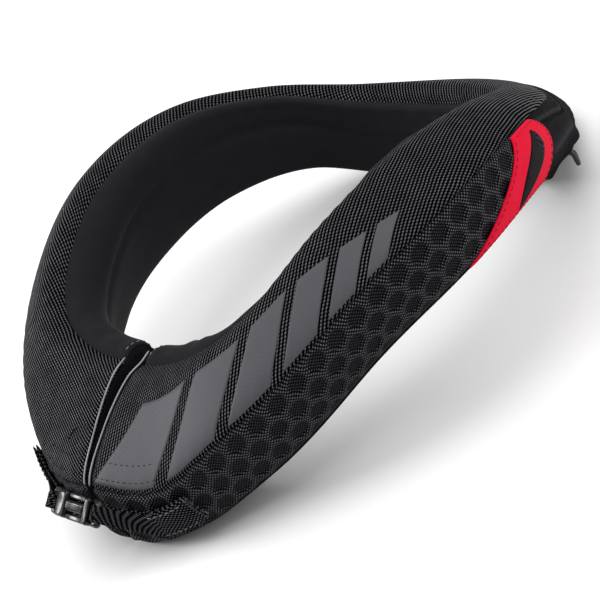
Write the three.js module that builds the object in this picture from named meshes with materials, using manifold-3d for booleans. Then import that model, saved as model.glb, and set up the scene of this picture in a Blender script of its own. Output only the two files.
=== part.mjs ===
// Padded neck collar for riders: a foam ring under cloth that dips at the front and the back, arches over
// the shoulders and closes at a split in front with a side-release buckle.
// Millimetres and degrees. +Z is up, the split faces -Y and the wearer's left is +X. The ring's centre is
// first the middle of the neck hole, and at the end the collar is moved so that its origin is on the floor
// under the middle of its box.
import * as THREE from "three";
import Module from "manifold-3d";
import { mergeVertices } from "three/addons/utils/BufferGeometryUtils.js";

// One row for each section of the ring, from the split (angle 0) to the middle of the back (angle 180).
// seamR and seamZ place the seam between the lining and the top panel. The other columns step on from it:
// crest to the top of the pad, face from there to the outer seam, side from there to the outer hem,
// roll to the padded edge of the lining and foot to the inner hem.
const SECTION_COLUMNS = [
  "angle", "seamR", "seamZ", "crestOut", "crestRise", "faceOut", "faceDrop",
  "sideOut", "sideDrop", "rollIn", "rollDrop", "footOut", "footDrop",
];
const SECTIONS = [
  [0, 114, 58, 8, -1, 37, 24, -6, 34, 13, 3, -4, 54],
  [12, 115, 60, 8, -0.5, 33, 29, -9, 27, 13.5, 4.5, -1, 54],
  [25, 114, 66, 8, 1, 24, 23, -11, 30, 13, 7, 4, 54],
  [50, 94, 82, 6, 3, 24, 20, -12, 32, 11, 9.5, 8.5, 53],
  [75, 80, 86, 7, 3, 28, 15, -9, 32, 8, 8.5, 7.5, 51],
  [100, 78, 80, 7, 2.5, 21, 12, -7, 30, 6, 7.5, 1.5, 46],
  [125, 80, 66, 6, 1.5, 13, 12, -4, 28, 5, 6, 0, 42],
  [150, 79, 48, 7, 3, 14, 12.5, 4, 26.5, 4, 6, 5.5, 47],
  [180, 76, 41, 8, 3, 21, 13, 21, 26, 4, 6, 3.5, 43],
];
const PUFF = { wall: 3, roll: 2.5, face: 2.5, side: 3 }; // how far the cloth swells between two corners

// Half the opening of the split at each corner of a section, in the order of sectionCorners.
const SPLIT_GAP = [3, 4, 6, 6, 6, 5, 3, 2, 2, 2, 2.5];
const SPLIT_BLEND = 20; // ring angle in which the leaning ends straighten out

const CLOTH = 2; // thickness of the cover
const FIT = 0.3; // clearance between pieces that touch
const SEWN_ON = 0.6; // lift of a piece sewn onto the rounded cover, which is flatter between its facets
const SEAM = 0.25; // how far a panel stops short of a seam line
const END_CAP = [0, 0.3]; // where the end cap starts and ends, in parts of the first step of the ring
const CORE_START = 0.37; // where the foam starts behind the end cap, in the same parts
const BACK_SEAM = 108; // ring angle where the mesh sides meet the back panel
const RING_STEPS = { front: [0, 3, 7, 12], armFrom: 18, armStep: 6, armSteps: 15, backSteps: 12 };

// Corners of a section that bound the panels, and the samples taken from one corner to the next.
const CORNER = { foot: 0, seam: 4, outerSeam: 7, hem: 9, count: 11 };
const SAMPLES = 2;

const PIPING = { radius: 0.6, steps: 14 };
const LABEL = {
  thickness: 1, top: 7.1, bottom: 8.8, front: 96, sweep: 22, sweepPower: 1.7, back: 114, bulge: 8,
  steps: 8, spans: 5,
};
const BUCKLE = {
  x: -1.5, y: -166.2, z: 29.5, turn: 3.5, tilt: 50, length: 33, width: 10.5, thickness: 5.5, corner: 2.5,
};
const LATCH = { joint: 7.6, armReach: -3.4, neck: 5.6, clearance: 0.4 };
const SLOT = { from: 11.2, to: 13.2, height: 7.6 };
const PAST = 2; // how far a cutter runs past what it cuts
const BAR = { middle: 14.85, halfThickness: 1 }; // the bar that carries a tab, from the middle of the buckle
const TAB = {
  layer: 1.1, slit: 0.2, eye: 2.1, halfWidth: 3.2, top: 7.4, bottom: 8.4, slant: 0.5,
  rows: 4, steps: 4, eyeSteps: 8, eyeFrom: 25, eyeTurn: 250,
};
// Ring angles where the two layers of a tab meet and where the tab ends, and how far up it is moved.
const TAB_REACH = { left: [9, 16, 0], right: [12, 18.5, 0.25] };
const LOOP = { angle: 140, spread: 0.8, top: 9.25, radius: 0.9, seat: 0.4, reach: 1.2, drop: 5, steps: 12 };

const DEG = Math.PI / 180;

const sectionCurve = new THREE.CubicInterpolant(
  SECTIONS.map((row) => row[0]),
  SECTIONS.flatMap((row) => row.slice(1)),
  SECTION_COLUMNS.length - 1,
);
sectionCurve.settings = { endingStart: THREE.ZeroSlopeEnding, endingEnd: THREE.ZeroSlopeEnding };

function sectionAt(angle) {
  const values = sectionCurve.evaluate(angle);
  return Object.fromEntries(SECTION_COLUMNS.slice(1).map((name, i) => [name, values[i]]));
}

// Point half way between two corners, pushed out of the section by puff.
function swell(a, b, puff) {
  const along = new THREE.Vector2().subVectors(b, a).normalize();
  return new THREE.Vector2((a.x + b.x) / 2 - along.y * puff, (a.y + b.y) / 2 + along.x * puff);
}

// Corners of a section as (radius, height): from the inner hem up the neck side, over the crest to the
// outer seam, down the side and back underneath.
function sectionCorners(angle) {
  const s = sectionAt(angle);
  const seam = new THREE.Vector2(s.seamR, s.seamZ);
  const step = (from, out, up) => new THREE.Vector2(from.x + out, from.y + up);
  const foot = step(seam, s.footOut, -s.footDrop);
  const roll = step(seam, -s.rollIn, -s.rollDrop);
  const crest = step(seam, s.crestOut, s.crestRise);
  const outerSeam = step(crest, s.faceOut, -s.faceDrop);
  const hem = step(outerSeam, s.sideOut, -s.sideDrop);
  return [
    foot, swell(foot, roll, PUFF.wall), roll, swell(roll, seam, PUFF.roll), seam, crest,
    swell(crest, outerSeam, PUFF.face), outerSeam, swell(outerSeam, hem, PUFF.side), hem, swell(hem, foot, 0),
  ];
}

// Point of the surface at a ring angle and a place u counted in corners, sunk by inset below the cover's
// outside. It stays above the floor, and near the split the two ends lean apart.
const curves = new Map();
function surfacePoint(angle, u, inset = 0) {
  const side = angle > 180 ? -1 : 1;
  const fromFront = side > 0 ? angle : 360 - angle;
  if (!curves.has(fromFront)) {
    const corners = sectionCorners(fromFront).map((p, i) => new THREE.Vector3(p.x, p.y, SPLIT_GAP[i]));
    curves.set(fromFront, new THREE.CatmullRomCurve3(corners, true, "centripetal"));
  }
  const curve = curves.get(fromFront);
  const at = (u / CORNER.count) % 1;
  const point = curve.getPoint(at);
  const along = curve.getTangent(at);
  const out = new THREE.Vector2(-along.y, along.x).normalize();
  const r = point.x - out.x * inset;
  const z = Math.max(point.y - out.y * inset, inset, 0);
  const lean = Math.asin(point.z / r) * Math.max(0, 1 - fromFront / SPLIT_BLEND);
  const turn = fromFront * DEG + lean;
  return new THREE.Vector3(side * r * Math.sin(turn), -r * Math.cos(turn), z);
}

// Closed solid through a row of closed loops with equal numbers of points. flatten lays a loop out flat,
// so that the two ends can be filled. Where a loop turns back, at point turnsAt, the faces are split the
// other way, so that the two sides of a wall have the same facets.
function loft(loops, flatten, turnsAt = Infinity) {
  const count = loops[0].length;
  const faces = [];
  for (let row = 0; row + 1 < loops.length; row += 1) {
    for (let i = 0; i < count; i += 1) {
      const a = row * count + i;
      const b = row * count + ((i + 1) % count);
      if (i < turnsAt) faces.push([a, b, b + count], [a, b + count, a + count]);
      else faces.push([a, b, a + count], [b, b + count, a + count]);
    }
  }
  const fill = (loop) => {
    const contour = loop.map(flatten);
    const winding = Math.sign(THREE.ShapeUtils.area(contour));
    const signed = (face) => Math.sign(THREE.ShapeUtils.area(face.map((i) => contour[i])));
    const turned = (face) => signed(face) !== winding;
    return THREE.ShapeUtils.triangulateShape(contour, []).map((f) => (turned(f) ? [...f].reverse() : f));
  };
  const last = (loops.length - 1) * count;
  faces.push(...fill(loops[0]).map((f) => [...f].reverse()));
  faces.push(...fill(loops.at(-1)).map((f) => f.map((i) => i + last)));

  const points = loops.flat();
  const volume = faces.reduce((sum, [a, b, c]) => {
    return sum + points[a].dot(new THREE.Vector3().crossVectors(points[b], points[c]));
  }, 0);
  const outward = volume > 0 ? faces : faces.map((f) => [...f].reverse());
  const geometry = new THREE.BufferGeometry().setFromPoints(points);
  geometry.setIndex(outward.flat());
  geometry.computeVertexNormals();
  return geometry;
}

const radial = (p) => new THREE.Vector2(Math.hypot(p.x, p.y), p.z);
const plan = (p) => new THREE.Vector2(p.x, p.y);
const mixLoops = (a, b, t) => a.map((p, i) => p.clone().lerp(b[i], t));

// Ring angles from one end of the split right round to the other.
function ringAngles() {
  const { front, armFrom, armStep, armSteps, backSteps } = RING_STEPS;
  const half = [...front];
  for (let i = 0; i < armSteps; i += 1) half.push(armFrom + armStep * i);
  for (let i = 0; i <= backSteps; i += 1) half.push(BACK_SEAM + ((180 - BACK_SEAM) * i) / backSteps);
  return [...half, ...half.slice(0, -1).reverse().map((angle) => 360 - angle)];
}
const RING = ringAngles();

// Strip of cover between two ring angles and two corners, that stops short of its neighbours.
function coverPanel(fromAngle, toAngle, fromCorner, toCorner) {
  const steps = (toCorner - fromCorner) * SAMPLES;
  const shorten = (points) => {
    const pull = (end, next) => end.clone().add(next.clone().sub(end).setLength(SEAM));
    return [pull(points[0], points[1]), ...points.slice(1, -1), pull(points.at(-1), points.at(-2))];
  };
  const strip = (angle, inset) => {
    const points = [];
    for (let i = 0; i <= steps; i += 1) points.push(surfacePoint(angle, fromCorner + i / SAMPLES, inset));
    return shorten(points);
  };
  const angles = RING.filter((angle) => angle >= fromAngle && angle <= toAngle);
  const loops = angles.map((angle) => [...strip(angle, 0), ...strip(angle, CLOTH).reverse()]);
  const trim = (end, next) => mixLoops(end, next, SEAM / end[0].distanceTo(next[0]));
  if (fromAngle > 0) loops[0] = trim(loops[0], loops[1]);
  if (toAngle < 360) loops[loops.length - 1] = trim(loops.at(-1), loops.at(-2));
  return loft(loops, radial, steps + 1);
}

// Outline of the foam at one ring angle, just inside the cover.
function foamLoop(angle) {
  const points = [];
  for (let i = 0; i < CORNER.count * SAMPLES; i += 1) {
    points.push(surfacePoint(angle, i / SAMPLES, CLOTH + FIT));
  }
  return points;
}

function foamCore() {
  const loops = RING.map(foamLoop);
  loops[0] = mixLoops(loops[0], loops[1], CORE_START);
  loops[loops.length - 1] = mixLoops(loops.at(-1), loops.at(-2), CORE_START);
  return loft(loops, radial);
}

// Plate of cloth that closes one end of the pad inside the cover.
function endCap(endAngle, nextAngle) {
  const end = foamLoop(endAngle);
  const next = foamLoop(nextAngle);
  return loft(END_CAP.map((t) => mixLoops(end, next, t)), radial);
}

// Round cord along a path of points.
function cord(points, radius, steps) {
  const section = new THREE.Shape().absarc(0, 0, radius, 0, 2 * Math.PI);
  const extrudePath = new THREE.CatmullRomCurve3(points);
  return new THREE.ExtrudeGeometry(section, { steps, curveSegments: 4, bevelEnabled: false, extrudePath });
}

// Piping along the edge of the top panel at one end, just inside the split.
function piping(endAngle) {
  const side = endAngle > 180 ? -1 : 1;
  const points = [];
  for (let i = 0; i <= (CORNER.outerSeam - CORNER.seam) * SAMPLES; i += 1) {
    const p = surfacePoint(endAngle, CORNER.seam + i / SAMPLES);
    points.push(p.setX(p.x - side * (PIPING.radius + FIT)));
  }
  return cord(points, PIPING.radius, PIPING.steps);
}

// Wedge of cloth sewn over the mesh on the wearer's left: short at the outer seam, with a front edge that
// sweeps forward to a point at the hem and a back edge that bulges.
function sideLabel() {
  const loops = [];
  for (let i = 0; i <= LABEL.steps; i += 1) {
    const depth = i / LABEL.steps;
    const u = THREE.MathUtils.lerp(LABEL.top, LABEL.bottom, depth);
    const front = LABEL.front - LABEL.sweep * depth ** LABEL.sweepPower;
    const back = LABEL.back - LABEL.bulge * (2 * depth - 1) ** 2;
    const strip = (inset) => {
      const points = [];
      for (let j = 0; j <= LABEL.spans; j += 1) {
        points.push(surfacePoint(front + ((back - front) * j) / LABEL.spans, u, inset));
      }
      return points;
    };
    loops.push([...strip(-SEWN_ON), ...strip(-SEWN_ON - LABEL.thickness).reverse()]);
  }
  return loft(loops, (p) => new THREE.Vector2(p.y, p.x));
}

// Folded cloth tab: its eye goes round a bar of the buckle and its two layers lie on the front of the pad.
function tab(side, [meet, far, rise]) {
  const turn = BUCKLE.turn * DEG;
  const along = new THREE.Vector3(Math.cos(turn), -Math.sin(turn), 0).multiplyScalar(side);
  const front = new THREE.Vector3(-Math.sin(turn), -Math.cos(turn), 0);
  const [lean, stand] = [Math.sin(BUCKLE.tilt * DEG), Math.cos(BUCKLE.tilt * DEG)];
  const out = new THREE.Vector3(0, 0, lean).addScaledVector(front, stand);
  const across = new THREE.Vector3(0, 0, stand).addScaledVector(front, -lean);
  const loops = [];
  for (let i = 0; i <= TAB.rows; i += 1) {
    const down = i / TAB.rows;
    const bar = new THREE.Vector3(BUCKLE.x, BUCKLE.y, BUCKLE.z).addScaledVector(along, BAR.middle);
    bar.addScaledVector(across, TAB.halfWidth * (1 - 2 * down));
    const layer = (lift) => {
      const points = [];
      for (let k = 0; k <= TAB.steps; k += 1) {
        const angle = meet + ((far + TAB.slant * down - meet) * k) / TAB.steps;
        const u = THREE.MathUtils.lerp(TAB.top, TAB.bottom, down) - rise;
        points.push(surfacePoint(side > 0 ? angle : 360 - angle, u, -lift));
      }
      return points;
    };
    const eye = (radius) => {
      const points = [];
      for (let k = 0; k <= TAB.eyeSteps; k += 1) {
        const around = (TAB.eyeFrom + (TAB.eyeTurn * k) / TAB.eyeSteps) * DEG;
        const p = bar.clone().addScaledVector(along, radius * Math.cos(around));
        points.push(p.addScaledVector(out, radius * Math.sin(around)));
      }
      return points;
    };
    const slit = SEWN_ON + TAB.layer;
    loops.push([
      ...layer(slit + TAB.slit + TAB.layer).reverse(), ...eye(TAB.eye + TAB.layer), ...layer(SEWN_ON),
      ...layer(slit).reverse(), ...eye(TAB.eye).reverse(), ...layer(slit + TAB.slit),
    ]);
  }
  return loft(loops, plan);
}

const wasm = await Module();
wasm.setup();

function solidOf(geometry) {
  const bare = geometry.clone();
  bare.deleteAttribute("normal");
  bare.deleteAttribute("uv");
  const merged = mergeVertices(bare);
  const vertProperties = new Float32Array(merged.attributes.position.array);
  const triVerts = new Uint32Array(merged.index.array);
  return new wasm.Manifold(new wasm.Mesh({ numProp: 3, vertProperties, triVerts }));
}

function geometryOf(solid) {
  const mesh = solid.getMesh();
  const geometry = new THREE.BufferGeometry();
  geometry.setAttribute("position", new THREE.BufferAttribute(mesh.vertProperties, 3));
  geometry.setIndex(new THREE.BufferAttribute(mesh.triVerts, 1));
  geometry.computeVertexNormals();
  return geometry;
}

// Half of the buckle from its flat outline: length along x, width along z, thickness along y. The tab's
// slot is cut through, and the bar behind the slot is thinned from both faces.
function buckleHalf(outline, side) {
  const slot = new THREE.Path();
  const low = side > 0 ? SLOT.from : -SLOT.to;
  const high = side > 0 ? SLOT.to : -SLOT.from;
  const half = SLOT.height / 2;
  const slotCorners = [[low, -half], [low, half], [high, half], [high, -half]];
  slot.setFromPoints(slotCorners.map((p) => new THREE.Vector2(...p)));
  outline.holes.push(slot);
  const depth = BUCKLE.thickness;
  const body = new THREE.ExtrudeGeometry(outline, { depth, bevelEnabled: false, curveSegments: 4 });
  body.translate(0, 0, -depth / 2).rotateX(90 * DEG);
  const relief = new THREE.BoxGeometry(BUCKLE.length / 2 - SLOT.from + PAST, depth, BUCKLE.width + PAST);
  const shift = depth / 2 + BAR.halfThickness;
  const x = side * (SLOT.from + relief.parameters.width / 2);
  const front = solidOf(relief.clone().translate(x, -shift, 0));
  const back = solidOf(relief.clone().translate(x, shift, 0));
  return geometryOf(solidOf(body).subtract(front).subtract(back));
}

// Housing: a block with rounded outer corners and a narrow neck that goes in between the latch's arms.
function buckleHousing() {
  const end = -BUCKLE.length / 2;
  const half = BUCKLE.width / 2;
  const c = BUCKLE.corner;
  const outline = new THREE.Shape();
  outline.moveTo(end + c, -half);
  outline.lineTo(LATCH.armReach, -half);
  outline.lineTo(LATCH.armReach, -LATCH.neck / 2);
  outline.lineTo(LATCH.joint, -LATCH.neck / 2);
  outline.lineTo(LATCH.joint, LATCH.neck / 2);
  outline.lineTo(LATCH.armReach, LATCH.neck / 2);
  outline.lineTo(LATCH.armReach, half);
  outline.lineTo(end + c, half);
  outline.absarc(end + c, half - c, c, 90 * DEG, 180 * DEG);
  outline.absarc(end + c, c - half, c, 180 * DEG, 270 * DEG);
  return buckleHalf(outline, -1);
}

// Latch: a base with rounded outer corners and two spring arms along the housing's neck.
function buckleLatch() {
  const end = BUCKLE.length / 2;
  const half = BUCKLE.width / 2;
  const c = BUCKLE.corner;
  const root = LATCH.joint + LATCH.clearance;
  const tip = LATCH.armReach + LATCH.clearance;
  const inside = LATCH.neck / 2 + LATCH.clearance;
  const outline = new THREE.Shape();
  outline.moveTo(tip, -half);
  outline.lineTo(end - c, -half);
  outline.absarc(end - c, c - half, c, -90 * DEG, 0);
  outline.absarc(end - c, half - c, c, 0, 90 * DEG);
  outline.lineTo(tip, half);
  outline.lineTo(tip, inside);
  outline.lineTo(root, inside);
  outline.lineTo(root, -inside);
  outline.lineTo(tip, -inside);
  return buckleHalf(outline, 1);
}

// Short cord loop that hangs from the hem beside the tail, on the wearer's left.
function tailLoop() {
  const leg = (angle) => {
    const root = surfacePoint(angle, LOOP.top, -LOOP.seat);
    return [root, surfacePoint(angle, LOOP.top, -LOOP.seat - LOOP.reach)];
  };
  const one = leg(LOOP.angle - LOOP.spread);
  const other = leg(LOOP.angle + LOOP.spread).reverse();
  const tip = one[1].clone().lerp(other[0], 0.5);
  tip.z -= LOOP.drop;
  return cord([...one, tip, ...other], LOOP.radius, LOOP.steps);
}

const collar = new THREE.Group();

function add(name, geometry, color, roughness, parent = collar) {
  const material = new THREE.MeshStandardMaterial({ color, roughness, metalness: 0 });
  const mesh = new THREE.Mesh(geometry, material);
  mesh.name = name;
  parent.add(mesh);
}

const whole = [0, 360];
add("foam_core", foamCore(), "#4a4a4e", 0.95);
add("neck_lining", coverPanel(...whole, CORNER.foot, CORNER.seam), "#1c1c20", 0.85);
add("top_panel", coverPanel(...whole, CORNER.seam, CORNER.outerSeam), "#2b2b30", 0.8);
add("side_panel_left", coverPanel(0, BACK_SEAM, CORNER.outerSeam, CORNER.hem), "#151518", 0.85);
add("side_panel_right", coverPanel(360 - BACK_SEAM, 360, CORNER.outerSeam, CORNER.hem), "#151518", 0.85);
add("back_panel", coverPanel(BACK_SEAM, 360 - BACK_SEAM, CORNER.outerSeam, CORNER.hem), "#141416", 0.75);
add("base_panel", coverPanel(...whole, CORNER.hem, CORNER.count), "#18181a", 0.9);
add("end_cap_left", endCap(RING[0], RING[1]), "#101012", 0.9);
add("end_cap_right", endCap(RING.at(-1), RING.at(-2)), "#101012", 0.9);
add("piping_left", piping(RING[0]), "#8a8a90", 0.5);
add("piping_right", piping(RING.at(-1)), "#8a8a90", 0.5);
add("side_label", sideLabel(), "#e8283a", 0.6);
add("tab_left", tab(1, TAB_REACH.left), "#1e1e22", 0.85);
add("tab_right", tab(-1, TAB_REACH.right), "#1e1e22", 0.85);
add("tail_loop", tailLoop(), "#17171a", 0.6);

const buckle = new THREE.Group();
buckle.position.set(BUCKLE.x, BUCKLE.y, BUCKLE.z);
buckle.rotation.set(-BUCKLE.tilt * DEG, 0, -BUCKLE.turn * DEG, "ZYX");
add("buckle_housing", buckleHousing(), "#0c0c0e", 0.25, buckle);
add("buckle_latch", buckleLatch(), "#0c0c0e", 0.25, buckle);
collar.add(buckle);

const box = new THREE.Box3().setFromObject(collar, true);
const middle = box.getCenter(new THREE.Vector3());
collar.position.set(-middle.x, -middle.y, -box.min.z);

export default collar;
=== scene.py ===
import math

import bpy
import numpy as np
from mathutils import Matrix, Vector


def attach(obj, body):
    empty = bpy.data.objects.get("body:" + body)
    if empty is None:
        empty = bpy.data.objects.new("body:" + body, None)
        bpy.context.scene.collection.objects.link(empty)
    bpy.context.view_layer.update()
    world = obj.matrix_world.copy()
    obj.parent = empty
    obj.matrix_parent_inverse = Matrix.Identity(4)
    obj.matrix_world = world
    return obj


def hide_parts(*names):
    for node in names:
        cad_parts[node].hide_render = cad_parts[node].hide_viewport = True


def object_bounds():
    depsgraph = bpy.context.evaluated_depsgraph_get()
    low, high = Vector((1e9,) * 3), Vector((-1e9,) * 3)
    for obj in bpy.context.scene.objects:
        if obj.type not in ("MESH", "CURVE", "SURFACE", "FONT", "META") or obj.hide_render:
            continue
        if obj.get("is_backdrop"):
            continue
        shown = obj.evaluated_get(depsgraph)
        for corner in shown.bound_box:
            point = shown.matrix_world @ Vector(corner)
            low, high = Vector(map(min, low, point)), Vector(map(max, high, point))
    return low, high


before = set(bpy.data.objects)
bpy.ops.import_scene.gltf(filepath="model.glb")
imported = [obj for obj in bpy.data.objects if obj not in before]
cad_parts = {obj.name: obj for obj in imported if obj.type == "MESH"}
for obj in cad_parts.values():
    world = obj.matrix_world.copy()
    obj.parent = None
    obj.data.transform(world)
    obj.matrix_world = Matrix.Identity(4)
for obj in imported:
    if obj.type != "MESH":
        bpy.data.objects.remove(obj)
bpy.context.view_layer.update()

# Foam core: one thick ring of closed-cell foam, cut open in front, that gives the whole collar its form.
# It is cut from block foam and glued up, then sewn into the cover, so none of it shows on a finished collar.
# One row for each section of the ring, from the split (angle 0) to the middle of the back (angle 180), in mm.
# seamR and seamZ place the neck seam; the other columns step on from it to the crest, down the face to the
# outer seam, down the side to the hem, in to the padded roll of the lining and down to the foot.
SECTION_COLUMNS = ("angle seamR seamZ crestOut crestRise faceOut faceDrop sideOut sideDrop"
                   " rollIn rollDrop footOut footDrop").split()
SECTIONS = np.array([
    [0, 114, 58, 8, -1, 37, 24, -6, 34, 13, 3, -4, 54],
    [12, 115, 60, 8, -0.5, 33, 29, -9, 27, 13.5, 4.5, -1, 54],
    [25, 114, 66, 8, 1, 24, 23, -11, 30, 13, 7, 4, 54],
    [50, 94, 82, 6, 3, 24, 20, -12, 32, 11, 9.5, 8.5, 53],
    [75, 80, 86, 7, 3, 28, 15, -9, 32, 8, 8.5, 7.5, 51],
    [100, 78, 80, 7, 2.5, 21, 12, -7, 30, 6, 7.5, 1.5, 46],
    [125, 80, 65, 6, 1.5, 13, 12, -4, 27, 5, 6, 0, 41],
    [150, 79, 46, 7, 3, 14, 12.5, 4, 25, 4, 6, 5.5, 45],
    [180, 76, 39, 8, 3, 21, 13, 21, 24.5, 4, 6, 3.5, 41],
], float)
PUFF = {"wall": 3, "roll": 2.5, "face": 2.5, "side": 3}
SPLIT_GAP = [3, 4, 6, 6, 6, 5, 3, 2, 2, 2, 2.5]
SPLIT_BLEND = 20
RING_CENTRE_Y = 23.37
COVER = 2.0
FOAM_CLEARANCE = 0.4
MM = 0.001
# Places round a section, counted in corners from the foot.
FOOT, NECK_SEAM, OUTER_SEAM, HEM, CORNERS = 0, 4, 7, 9, 11
FINE = 24


def section_at(angle):
    """The named sizes of the section at a ring angle from 0 to 180, eased between the rows of the table."""
    angles, values = SECTIONS[:, 0], SECTIONS[:, 1:]
    padded_angles = np.concatenate([[2 * angles[0] - angles[1]], angles, [2 * angles[-1] - angles[-2]]])
    padded_values = np.concatenate([values[1:2], values, values[-2:-1]])
    slopes = np.diff(padded_values, axis=0) / np.diff(padded_angles)[:, None]
    tangents = (slopes[1:] + slopes[:-1]) / 2
    i = int(np.clip(np.searchsorted(angles, angle, "right") - 1, 0, len(angles) - 2))
    step = angles[i + 1] - angles[i]
    t = (angle - angles[i]) / step
    mixed = ((2 * t**3 - 3 * t**2 + 1) * values[i] + (t**3 - 2 * t**2 + t) * step * tangents[i]
             + (3 * t**2 - 2 * t**3) * values[i + 1] + (t**3 - t**2) * step * tangents[i + 1])
    return dict(zip(SECTION_COLUMNS[1:], mixed))


def section_corners(angle):
    """Corners of a section as (radius, height, half the split), from the foot over the crest and back."""
    s = section_at(angle)

    def swell(a, b, puff):
        """The middle of a side, pushed out by puff."""
        along = (b - a) / np.linalg.norm(b - a)
        return (a + b) / 2 + puff * np.array([-along[1], along[0]])

    seam = np.array([s["seamR"], s["seamZ"]])
    foot = seam + [s["footOut"], -s["footDrop"]]
    roll = seam + [-s["rollIn"], -s["rollDrop"]]
    crest = seam + [s["crestOut"], s["crestRise"]]
    edge = crest + [s["faceOut"], -s["faceDrop"]]
    hem = edge + [s["sideOut"], -s["sideDrop"]]
    corners = [foot, swell(foot, roll, PUFF["wall"]), roll, swell(roll, seam, PUFF["roll"]), seam, crest,
               swell(crest, edge, PUFF["face"]), edge, swell(edge, hem, PUFF["side"]), hem, (hem + foot) / 2]
    return np.column_stack([np.array(corners), SPLIT_GAP])


def section_curve(corners, places):
    """Points and tangents of the closed centripetal curve through the corners, at places counted in them."""
    i = np.floor(places).astype(int)
    t = (places - i)[:, None]
    p0, p1, p2, p3 = (corners[(i + k) % CORNERS] for k in (-1, 0, 1, 2))
    spans = ((p0, p1), (p1, p2), (p2, p3))
    d0, d1, d2 = (np.sqrt(np.linalg.norm(b - a, axis=1))[:, None] for a, b in spans)
    m1 = ((p1 - p0) / d0 - (p2 - p0) / (d0 + d1) + (p2 - p1) / d1) * d1
    m2 = ((p2 - p1) / d1 - (p3 - p1) / (d1 + d2) + (p3 - p2) / d2) * d1
    points = ((2 * t**3 - 3 * t**2 + 1) * p1 + (t**3 - 2 * t**2 + t) * m1
              + (3 * t**2 - 2 * t**3) * p2 + (t**3 - t**2) * m2)
    tangents = ((6 * t**2 - 6 * t) * p1 + (3 * t**2 - 4 * t + 1) * m1
                + (6 * t - 6 * t**2) * p2 + (3 * t**2 - 2 * t) * m2)
    return points, tangents


def pad_points(angle, places, lift=0.0):
    """Points of the pad's surface in mm in the row frame and the way out of it, at one ring angle."""
    side = 1 if angle <= 180 else -1
    from_front = angle if side > 0 else 360 - angle
    places = np.asarray(places, float)
    points, tangents = section_curve(section_corners(from_front), places)
    out = np.column_stack([-tangents[:, 1], tangents[:, 0]])
    out /= np.linalg.norm(out, axis=1)[:, None]
    r = points[:, 0] + out[:, 0] * lift
    z = np.maximum(points[:, 1] + out[:, 1] * lift, np.maximum(-np.asarray(lift), 0))
    turn = math.radians(from_front) + np.arcsin(points[:, 2] / r) * max(0, 1 - from_front / SPLIT_BLEND)
    placed = np.column_stack([side * r * np.sin(turn), RING_CENTRE_Y - r * np.cos(turn), z])
    outward = np.column_stack([side * out[:, 0] * np.sin(turn), -out[:, 0] * np.cos(turn), out[:, 1]])
    return placed, outward


def run_along(points, axis=0):
    """The length from the first point to each point, along one axis of an array of points."""
    steps = np.linalg.norm(np.diff(points, axis=axis), axis=-1)
    first = np.zeros_like(np.take(steps, [0], axis=axis))
    return np.concatenate([first, np.cumsum(steps, axis=axis)], axis=axis)


def pad_row(angle, start, end, count):
    """Places between two corners at one ring angle, closer at both edges, and the lengths to them in mm."""
    fine = np.linspace(start, end, FINE * int(math.ceil(end - start)) + 1)
    points, _ = pad_points(angle, fine)
    length = run_along(points)
    share = np.linspace(0, 1, count)
    spaced = length[-1] * (0.5 * share + 0.25 - 0.25 * np.cos(np.pi * share))
    return np.interp(spaced, length, fine), spaced


def grid_faces(rows, columns, start=0, closed=False):
    """Quads of a grid of points, row after row, joined round the columns if closed."""
    faces = []
    for i in range(rows - 1):
        for j in range(columns if closed else columns - 1):
            a = start + i * columns + j
            b = start + i * columns + (j + 1) % columns
            faces.append((a, b, b + columns, a + columns))
    return faces


def new_piece(name, points, faces):
    """A mesh object from points in mm and closed faces, turned so that the faces point outwards."""
    points = np.asarray(points, float) * MM
    triangles = np.array([(f[0], f[k], f[k + 1]) for f in faces for k in range(1, len(f) - 1)])
    a, b, c = (points[triangles[:, k]] for k in range(3))
    if np.einsum("ij,ij->", a, np.cross(b, c)) < 0:
        faces = [tuple(reversed(face)) for face in faces]
    mesh = bpy.data.meshes.new(name)
    mesh.from_pydata(points.tolist(), [], faces)
    mesh.polygons.foreach_set("use_smooth", [True] * len(mesh.polygons))
    mesh.update()
    piece = bpy.data.objects.new(name, mesh)
    bpy.context.scene.collection.objects.link(piece)
    return piece


def linear(code):
    """An sRGB hex colour as linear red, green, blue and alpha."""
    parts = [int(code[i:i + 2], 16) / 255 for i in (1, 3, 5)]
    return [p / 12.92 if p <= 0.04045 else ((p + 0.055) / 1.055) ** 2.4 for p in parts] + [1.0]


def add_node(tree, kind, inputs=None, **settings):
    """One node with its settings and, by socket name or number, its values and links."""
    made = tree.nodes.new(kind)
    for name, value in settings.items():
        setattr(made, name, value)
    for key, value in (inputs or {}).items():
        if isinstance(value, bpy.types.NodeSocket):
            tree.links.new(value, made.inputs[key])
        else:
            made.inputs[key].default_value = value
    return made


def new_material(name, sockets):
    """A material on the standard shader, with the sockets that are the same all over set on it."""
    material = bpy.data.materials.new(name)
    material.use_nodes = True
    shader = material.node_tree.nodes["Principled BSDF"]
    for key, value in sockets.items():
        shader.inputs[key].default_value = value
    return material, material.node_tree, shader


def finish_piece(piece, material, nodes=()):
    """Gives a piece its material and its body, and hides the solids that it stands for."""
    piece.data.materials.append(material)
    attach(piece, "root")
    if nodes:
        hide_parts(*nodes)
    return piece


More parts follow.
